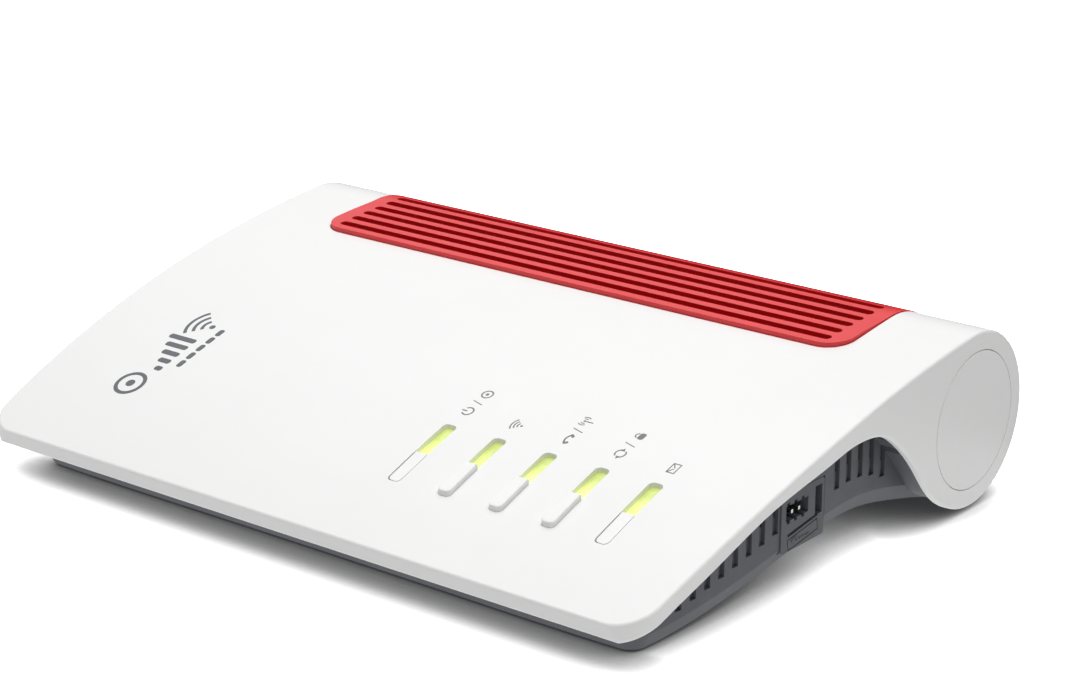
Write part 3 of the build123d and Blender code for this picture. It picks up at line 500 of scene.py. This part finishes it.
def handsetSign(bm, u, s):
    drawArc(bm, (u, -0.5 * s), 0.72 * s, 0.14 * s, 55, 125)
    for side in (-1, 1):
        drawBar(bm, (u + side * 0.36 * s, -0.14 * s), (u + side * 0.46 * s, 0.0), 0.24 * s)


def mastSign(bm, u, s):
    drawBar(bm, (u, -0.45 * s), (u, 0.1 * s), 0.1 * s)
    drawDot(bm, (u, 0.25 * s), 0.1 * s)
    for radius in (0.26, 0.46):
        drawArc(bm, (u, 0.25 * s), radius * s, 0.09 * s, -38, 38)
        drawArc(bm, (u, 0.25 * s), radius * s, 0.09 * s, 142, 218)


def swapSign(bm, u, s):
    for turn in (0, 180):
        drawArc(bm, (u, 0), 0.4 * s, 0.12 * s, turn + 10, turn + 140)
        tip = (u + 0.4 * s * cos(radians(turn + 2)), 0.4 * s * sin(radians(turn + 2)))
        drawDot(bm, tip, 0.2 * s, 3, turn - 90)


def lockSign(bm, u, s):
    drawBar(bm, (u - 0.12 * s, -0.2 * s), (u + 0.12 * s, -0.2 * s), 0.5 * s)
    drawArc(bm, (u, 0.1 * s), 0.22 * s, 0.1 * s, 0, 180)


def letterSign(bm, u, s):
    corners = [(-0.5, -0.32), (0.5, -0.32), (0.5, 0.32), (-0.5, 0.32)]
    for first, second in zip(corners, corners[1:] + corners[:1]):
        inward = [(u + 0.97 * a * s, 0.97 * b * s) for a, b in (first, second)]
        drawBar(bm, *inward, 0.09 * s)
    for side in (-1, 1):
        drawBar(bm, (u + side * 0.4 * s, 0.22 * s), (u + side * 0.07 * s, -0.02 * s), 0.09 * s)


def slashSign(bm, u, s):
    drawBar(bm, (u - 0.12 * s, -0.45 * s), (u + 0.12 * s, 0.45 * s), 0.08 * s)


topTree = BVHTree.FromObject(nodes["top_shell"], bpy.context.evaluated_depsgraph_get())


def layOnTop(bm, corner, lift):
    # signs read from the front edge towards the roll, standing up towards the left side
    for vert in bm.verts:
        x = corner[0] - vert.co.y * mm
        y = corner[1] + vert.co.x * mm
        hit = topTree.ray_cast(Vector((x, y, 0.1)), Vector((0, 0, -1)))[0]
        vert.co = Vector((x, y, hit.z + lift))
    bm.normal_update()
    down = [face for face in bm.faces if face.normal.z < 0]
    bmesh.ops.reverse_faces(bm, faces=down)


def thicken(piece, thickness):
    solid = piece.modifiers.new("thickness", "SOLIDIFY")
    solid.thickness = thickness
    solid.offset = -1


captionLook = {"size": 3.9, "gap": 4.3, "behind": 7.0, "lift": 0.00003, "thickness": 0.00006}
captions = {
    "power": (powerSign, slashSign, plugSign),
    "wireless": (wavesSign,),
    "phone": (handsetSign, slashSign, mastSign),
    "connect": (swapSign, slashSign, lockSign),
    "info": (letterSign,),
}
statusNodes = {"power": "inlay_power", "wireless": "key_wireless", "phone": "key_phone",
               "connect": "key_connect", "info": "inlay_info"}
for name, signs in captions.items():
    low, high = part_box(statusNodes[name])
    bm = bmesh.new()
    reach = 0.0
    for sign in signs:
        sign(bm, reach, captionLook["size"])
        reach += captionLook["gap"]
    corner = ((low.x + high.x) / 2, windowHigh.y + captionLook["behind"] * mm)
    layOnTop(bm, corner, captionLook["lift"])
    caption = makePiece("caption_" + name, bm, inkOf["captionInk"], "case", smooth=False)
    thicken(caption, captionLook["thickness"])
print("captions printed:", len(captions))

makerMark = {"fromLeft": 37.5, "fromFront": 29.0, "size": 10.0, "ring": 1.05, "lift": 0.00004,
             "thickness": 0.00008,
             "bars": 5, "barWidth": 2.0, "barPitch": 3.6, "barStart": 0.85, "barFoot": -0.36,
             "barTop": -0.28, "barStep": 0.2, "wavesGap": 0.45,
             "studs": 5, "studStart": 1.2, "studPitch": 1.15, "studReach": 0.7, "studWidth": 1.9,
             "studDrop": -0.85}


def drawMakerMark(bm, look):
    # a plug sign, rising bars and a wave sign in one row, with a row of small studs under it
    size, pitch = look["size"], look["barPitch"]
    start = look["barStart"] * size
    plugSign(bm, 0, size * look["ring"])
    for i in range(look["bars"]):
        u = start + i * pitch
        top = (look["barTop"] + look["barStep"] * i) * size
        drawBar(bm, (u, look["barFoot"] * size), (u, top), look["barWidth"])
    wavesSign(bm, start + look["bars"] * pitch + look["wavesGap"] * size, size)
    height = look["studDrop"] * size
    for i in range(look["studs"]):
        u = start + (look["studStart"] + i * look["studPitch"]) * pitch
        drawBar(bm, (u - look["studReach"], height), (u + look["studReach"], height), look["studWidth"])


bm = bmesh.new()
drawMakerMark(bm, makerMark)
markCorner = (cadBox[0][0] + makerMark["fromLeft"] * mm, cadBox[0][1] + makerMark["fromFront"] * mm)
layOnTop(bm, markCorner, makerMark["lift"])
frontMark = makePiece("front_mark", bm, inkOf["markInk"], "case", smooth=False)
thicken(frontMark, makerMark["thickness"])
print("front mark printed")


coaxMount = mountOf["coax_thread"]
coaxLook = {"radius": coaxMount["dims"]["r_mm"] * mm, "bore": 0.0034, "steps": 40, "rim": 0.0005,
            "rimEase": 0.0002, "behindPanel": 0.002,
            "pitch": 0.00079, "depth": 0.00048, "sink": 0.0002, "crest": 0.00005, "flank": 0.42,
            "flat": 0.06, "lead": 0.0006,
            "hexAcross": 0.011, "hexLong": 0.0025, "hexGap": 0.0001,
            "blockBehind": 0.006, "blockEase": 0.001, "blockRound": 0.0004, "sharp": 32}


def latheY(bm, outline, axisX, axisZ, steps):
    # outline is (radius, y) pairs; it is spun about an axis along Y
    verts = [bm.verts.new((axisX + radius, y, axisZ)) for radius, y in outline]
    edges = [bm.edges.new(pair) for pair in zip(verts, verts[1:] + verts[:1])]
    bmesh.ops.spin(bm, geom=verts + edges, cent=(axisX, 0, axisZ), axis=(0, 1, 0), angle=2 * pi, steps=steps,
                   use_merge=True)


def makeCoaxBarrel(look):
    # threaded barrel, with a hexagon and a block behind the panel
    x, z = coaxMount["pos_m"][0], coaxMount["pos_m"][2]
    low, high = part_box("coax_connector")
    panelBack, panelFace = [corner.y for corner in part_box("port_panel")]
    bm = bmesh.new()
    drawBarrel(bm, look, x, z, panelBack, high.y)
    windThread(bm, look, x, z, panelFace, high.y)
    middle = panelBack - look["hexLong"] / 2 - look["hexGap"]
    place = Matrix.Translation((x, middle, z)) @ Matrix.Rotation(pi / 2, 4, "X")
    corner = look["hexAcross"] / 3 ** 0.5
    bmesh.ops.create_cone(bm, cap_ends=True, segments=6, radius1=corner, radius2=corner,
                          depth=look["hexLong"], matrix=place)
    front = panelBack - look["blockBehind"]
    place = Matrix.Translation((x, (low.y + front) / 2, (low.z + high.z) / 2))
    size = (high.x - low.x - look["blockEase"], front - low.y, high.z - low.z, 1)
    block = bmesh.ops.create_cube(bm, size=1, matrix=place @ Matrix.Diagonal(size))
    edges = {edge for vert in block["verts"] for edge in vert.link_edges}
    bmesh.ops.bevel(bm, geom=list(edges), offset=look["blockRound"], segments=2, affect="EDGES", profile=0.5,
                    material=-1)
    bmesh.ops.recalc_face_normals(bm, faces=bm.faces)
    piece = makePiece("coax_barrel", bm, materialOf["connector_nickel"], "case",
                      ["coax_connector"])
    smoothByAngle(piece, look["sharp"])


def drawBarrel(bm, look, x, z, panelBack, end):
    start = panelBack - look["behindPanel"]
    root, bore, ease = look["radius"] - look["depth"], look["bore"], look["rimEase"]
    outline = [(bore, start), (root, start), (root, end - look["rim"]), (root - ease, end),
               (bore + ease, end), (bore, end - look["rim"])]
    latheY(bm, outline, x, z, look["steps"])


def windThread(bm, look, x, z, panelFace, end):
    # one trapezoid is wound round the barrel, from the panel to the rim
    pitch = look["pitch"]
    turns = int((end - panelFace - 2 * look["rim"]) / pitch)
    begin = end - look["lead"] - turns * pitch
    root, crest = look["radius"] - look["depth"] - look["sink"], look["radius"] - look["crest"]
    outline = [(root, -look["flank"]), (crest, -look["flat"]), (crest, look["flat"]), (root, look["flank"])]
    section = [bm.verts.new((x + radius, begin + along * pitch, z)) for radius, along in outline]
    edges = [bm.edges.new(pair) for pair in zip(section, section[1:] + section[:1])]
    cap = bm.faces.new(section)
    count = turns * look["steps"]
    bmesh.ops.spin(bm, geom=section + edges + [cap], cent=(x, 0, z), axis=(0, 1, 0), angle=turns * 2 * pi,
                   steps=count, dvec=(0, turns * pitch / count, 0), use_duplicate=False)


def smoothByAngle(piece, limit):
    # flat shading stays across edges sharper than limit
    bm = bmesh.new()
    bm.from_mesh(piece.data)
    for edge in bm.edges:
        edge.smooth = edge.is_manifold and edge.calc_face_angle(0) < radians(limit)
    bm.to_mesh(piece.data)
    bm.free()


makeCoaxBarrel(coaxLook)

nutLook = {"chamfer": 0.00055, "washer": 0.0006, "washerShare": 0.98, "boreEase": 0.0001, "boreSteps": 24,
           "washerSteps": 32, "sharp": 30}


def makeCoaxNut(look):
    # hexagon nut with turned corners, on a thin washer
    low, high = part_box("coax_nut")
    x, z = (low.x + high.x) / 2, (low.z + high.z) / 2
    across = min(high.x - low.x, high.z - low.z)
    corner = across / 3 ** 0.5
    bore = coaxLook["radius"] - look["boreEase"]
    seat = low.y + look["washer"]
    bm = bmesh.new()
    place = Matrix.Translation((x, (seat + high.y) / 2, z)) @ Matrix.Rotation(pi / 2, 4, "X")
    bmesh.ops.create_cone(bm, cap_ends=False, segments=6, radius1=corner, radius2=corner,
                          depth=high.y - seat, matrix=place)
    rims = [edge for edge in bm.edges if edge.is_boundary]
    for end in (seat, high.y):
        ring = [edge for edge in rims if abs(edge.verts[0].co.y - end) < look["washer"] / 3]
        turned = Matrix.Translation((x, end, z)) @ Matrix.Rotation(pi / 2, 4, "X")
        inner = bmesh.ops.create_circle(bm, cap_ends=False, segments=look["boreSteps"], radius=bore,
                                        matrix=turned)["verts"]
        edges = {edge for vert in inner for edge in vert.link_edges}
        bmesh.ops.bridge_loops(bm, edges=ring + list(edges))
    corners = [edge for edge in bm.edges if abs(edge.verts[0].co.y - edge.verts[1].co.y) > look["washer"]]
    bmesh.ops.bevel(bm, geom=corners, offset=look["chamfer"], segments=3, affect="EDGES", profile=0.5,
                    material=-1)
    top = low.y + look["washer"] * look["washerShare"]
    outline = [(bore, low.y), (across / 2, low.y), (across / 2, top), (bore, top)]
    latheY(bm, outline, x, z, look["washerSteps"])
    bmesh.ops.recalc_face_normals(bm, faces=bm.faces)
    piece = makePiece("hex_nut", bm, materialOf["connector_nickel"], "case", ["coax_nut"])
    smoothByAngle(piece, look["sharp"])


makeCoaxNut(nutLook)
print("coaxial connector threaded")

feetLook = {"rim": 0.0008, "rimSteps": 4, "dimple": 0.00035, "dimpleShare": 0.55, "dimpleEdge": 0.63,
            "steps": 36, "merge": 0.00002, "sharp": 40}


def findFeet():
    # x, y, top and radius of each foot, read from the solids
    corners = []
    low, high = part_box("rubber_feet")
    middle = (low + high) / 2
    for sideX in (-1, 1):
        for sideY in (-1, 1):
            mine = [vert.co for vert in nodes["rubber_feet"].data.vertices
                    if (vert.co.x - middle.x) * sideX > 0 and (vert.co.y - middle.y) * sideY > 0]
            xs, ys, zs = [[co[i] for co in mine] for i in range(3)]
            centre = ((min(xs) + max(xs)) / 2, (min(ys) + max(ys)) / 2)
            corners.append((*centre, max(zs), (max(xs) - min(xs)) / 2))
    return corners


def makeFeet(look):
    # turned pads with a rounded rim and a shallow dimple in the sole
    rim = look["rim"]
    bm = bmesh.new()
    for x, y, top, radius in findFeet():
        outline = [(0, look["dimple"]), (radius * look["dimpleShare"], look["dimple"]),
                   (radius * look["dimpleEdge"], 0)]
        for i in range(look["rimSteps"] + 1):
            angle = pi / 2 * i / look["rimSteps"]
            outline.append((radius - rim + rim * sin(angle), rim - rim * cos(angle)))
        outline += [(radius, top), (0, top)]
        verts = [bm.verts.new((x + out, y, up)) for out, up in outline]
        edges = [bm.edges.new(pair) for pair in zip(verts, verts[1:])]
        bmesh.ops.spin(bm, geom=verts + edges, cent=(x, y, 0), axis=(0, 0, 1), angle=2 * pi,
                       steps=look["steps"], use_merge=True)
    bmesh.ops.remove_doubles(bm, verts=bm.verts, dist=look["merge"])
    bmesh.ops.recalc_face_normals(bm, faces=bm.faces)
    piece = makePiece("foot_pads", bm, materialOf["foot_rubber"], "case", ["rubber_feet"])
    smoothByAngle(piece, look["sharp"])


makeFeet(feetLook)
print("feet turned")

sideSign = {"size": 2.6, "up": 2.55, "back": 6.6, "relief": 0.0002, "studs": 3, "studStart": 2.6,
            "studPitch": 1.7, "studLong": 0.8, "studDrop": -0.35, "studWidth": 0.7}


def makeSideSign(look):
    # raised handset and plain studs in the field under the side socket
    low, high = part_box("side_phone_socket")
    bm = bmesh.new()
    handsetSign(bm, 0, look["size"])
    for i in range(look["studs"]):
        u = look["studStart"] + look["studPitch"] * i
        drawBar(bm, (u, look["studDrop"]), (u + look["studLong"], look["studDrop"]), look["studWidth"])
    for vert in bm.verts:
        vert.co = Vector((high.x + look["relief"], low.y + (look["back"] + vert.co.x) * mm,
                          low.z + (look["up"] + vert.co.y) * mm))
    bm.normal_update()
    bmesh.ops.reverse_faces(bm, faces=[face for face in bm.faces if face.normal.x < 0])
    piece = makePiece("side_sign", bm, materialOf["housing_grey"], "case", smooth=False)
    thicken(piece, look["relief"] * 2)


makeSideSign(sideSign)
print("side sign raised")

# stage, lights and camera
# the floor's contact shadow is painted into its glow; its reach and hardness are set here
stageLook = {"size": 6.0, "drop": 0.0001, "colour": (0.22, 0.22, 0.22), "shade": (0.21, 0.21, 0.21),
             "paintedShadowReach": 0.0185, "paintedShadowHardness": 2.3, "glowSeen": 2.2, "glowCast": 0.72,
             "skyOnWalls": 0.12, "skySeen": 1.0}


def makeStagePiece(name, bm, material):
    mesh = bpy.data.meshes.new(name)
    bm.to_mesh(mesh)
    bm.free()
    mesh.materials.append(material)
    piece = bpy.data.objects.new(name, mesh)
    bpy.context.scene.collection.objects.link(piece)
    return piece


def paleFloor(look):
    plain = {"Specular IOR Level": 0.1, "Emission Color": (1, 1, 1, 1)}
    material, tree, shader, coordinates = startMaterial("pale_floor", {"shader": plain})
    # the glow fades by ambient occlusion where the object shuts the floor in: a painted contact shadow, kept
    # close to the object
    paintedShadow = addNode(tree, "AmbientOcclusion", values={"Distance": look["paintedShadowReach"]}).outputs["AO"]
    glowWithPaintedShadow = mathNode(tree, "MULTIPLY", mathNode(tree, "POWER", paintedShadow, look["paintedShadowHardness"]), look["glowSeen"])
    isSeen = addNode(tree, "LightPath").outputs["Is Camera Ray"]
    glow = addNode(tree, "Mix", values={2: look["glowCast"]}, links={0: isSeen, 3: glowWithPaintedShadow})
    tree.links.new(glow.outputs[0], shader.inputs["Emission Strength"])
    patches = patchMask(tree, coordinates, 0.4, 0.2)
    tree.links.new(blendColours(tree, patches, look["colour"], look["shade"]), shader.inputs["Base Color"])
    spreadRoughness(tree, shader, patches, 0.8, 0.9)
    return material


def makeFloor(look):
    bm = bmesh.new()
    place = Matrix.Translation((0, 0, cadBox[0][2] - look["drop"]))
    bmesh.ops.create_grid(bm, x_segments=1, y_segments=1, size=look["size"] / 2, matrix=place)
    floor = makeStagePiece("floor", bm, paleFloor(look))


makeFloor(stageLook)

# dark cards that only show up in reflections, so the rear edges of the roll read against the floor
cardLook = {"behind": 0.16, "wide": 1.6, "high": 0.12, "low": 0.002, "gap": 0.02,
            "colour": (0.02, 0.02, 0.02), "shade": (0.03, 0.03, 0.03)}


def cardBlack(look):
    material, tree, shader, coordinates = startMaterial("card_black", {"shader": {"Specular IOR Level": 0.0}})
    weave = patchMask(tree, coordinates, 0.05, 0.3)
    tree.links.new(blendColours(tree, weave, look["colour"], look["shade"]), shader.inputs["Base Color"])
    return material


def makeCard(look):
    # one card stands behind the object and one lies on the floor in front of it
    bm = bmesh.new()
    back = cadBox[1][1]
    upright = Matrix.Translation((0, back + look["behind"], look["high"] / 2))
    upright = upright @ Matrix.Rotation(pi / 2, 4, "X")
    lying = Matrix.Translation((0, back + look["gap"] + look["behind"] / 2, look["low"]))
    for place, reach in ((upright, look["high"]), (lying, look["behind"])):
        bmesh.ops.create_grid(bm, x_segments=1, y_segments=1, size=0.5,
                              matrix=place @ Matrix.Diagonal((look["wide"], reach, 1, 1)))
    card = makeStagePiece("dark_card", bm, cardBlack(look))
    card.visible_camera = False
    card.visible_diffuse = False
    card.visible_shadow = False


makeCard(cardLook)
world = bpy.data.worlds.new("studio")
world.use_nodes = True
sky = world.node_tree.nodes["Background"]
sky.inputs["Color"].default_value = (1, 1, 1, 1)
ray = addNode(world.node_tree, "LightPath")
skyStrength = addNode(world.node_tree, "Mix", values={2: stageLook["skySeen"], 3: stageLook["skyOnWalls"]},
                      links={0: ray.outputs["Is Diffuse Ray"]})
world.node_tree.links.new(skyStrength.outputs[0], sky.inputs["Strength"])
bpy.context.scene.world = world

lampBoxes = {
    "overheadBox": {"place": (0.0, 0.05, 1.2), "aim": (0, 0.05, 0), "size": (2.0, 1.6), "power": 22.5},
    "rightFill": {"place": (1.2, -0.2, 0.6), "aim": (0, 0.05, 0.03), "size": (0.8, 0.8), "power": 0.4},
}
for name, look in lampBoxes.items():
    light = bpy.data.lights.new(name, "AREA")
    light.shape = "RECTANGLE"
    light.size, light.size_y = look["size"]
    light.energy = look["power"]
    lamp = bpy.data.objects.new(name, light)
    lamp.location = look["place"]
    lamp.rotation_euler = (Vector(look["aim"]) - Vector(look["place"])).to_track_quat("-Z", "Y").to_euler()
    bpy.context.scene.collection.objects.link(lamp)

cameraLook = {"azimuth": 38.6, "elevation": 18.67, "distance": 0.88, "aim": (-0.0096, 0.0352, 0.03),
              "lens": 96.49}
camera = bpy.data.objects.new("camera", bpy.data.cameras.new("camera"))
camera.data.lens = cameraLook["lens"]
camera.data.sensor_width = 36
turn = radians(cameraLook["azimuth"])
rise = radians(cameraLook["elevation"])
back = Vector((sin(turn) * cos(rise), -cos(turn) * cos(rise), sin(rise)))
camera.location = Vector(cameraLook["aim"]) + back * cameraLook["distance"]
camera.rotation_euler = (pi / 2 - rise, 0, turn)
bpy.context.scene.collection.objects.link(camera)
bpy.context.scene.camera = camera
bpy.context.scene.view_settings.view_transform = "Standard"
print("stage, lights and camera set")
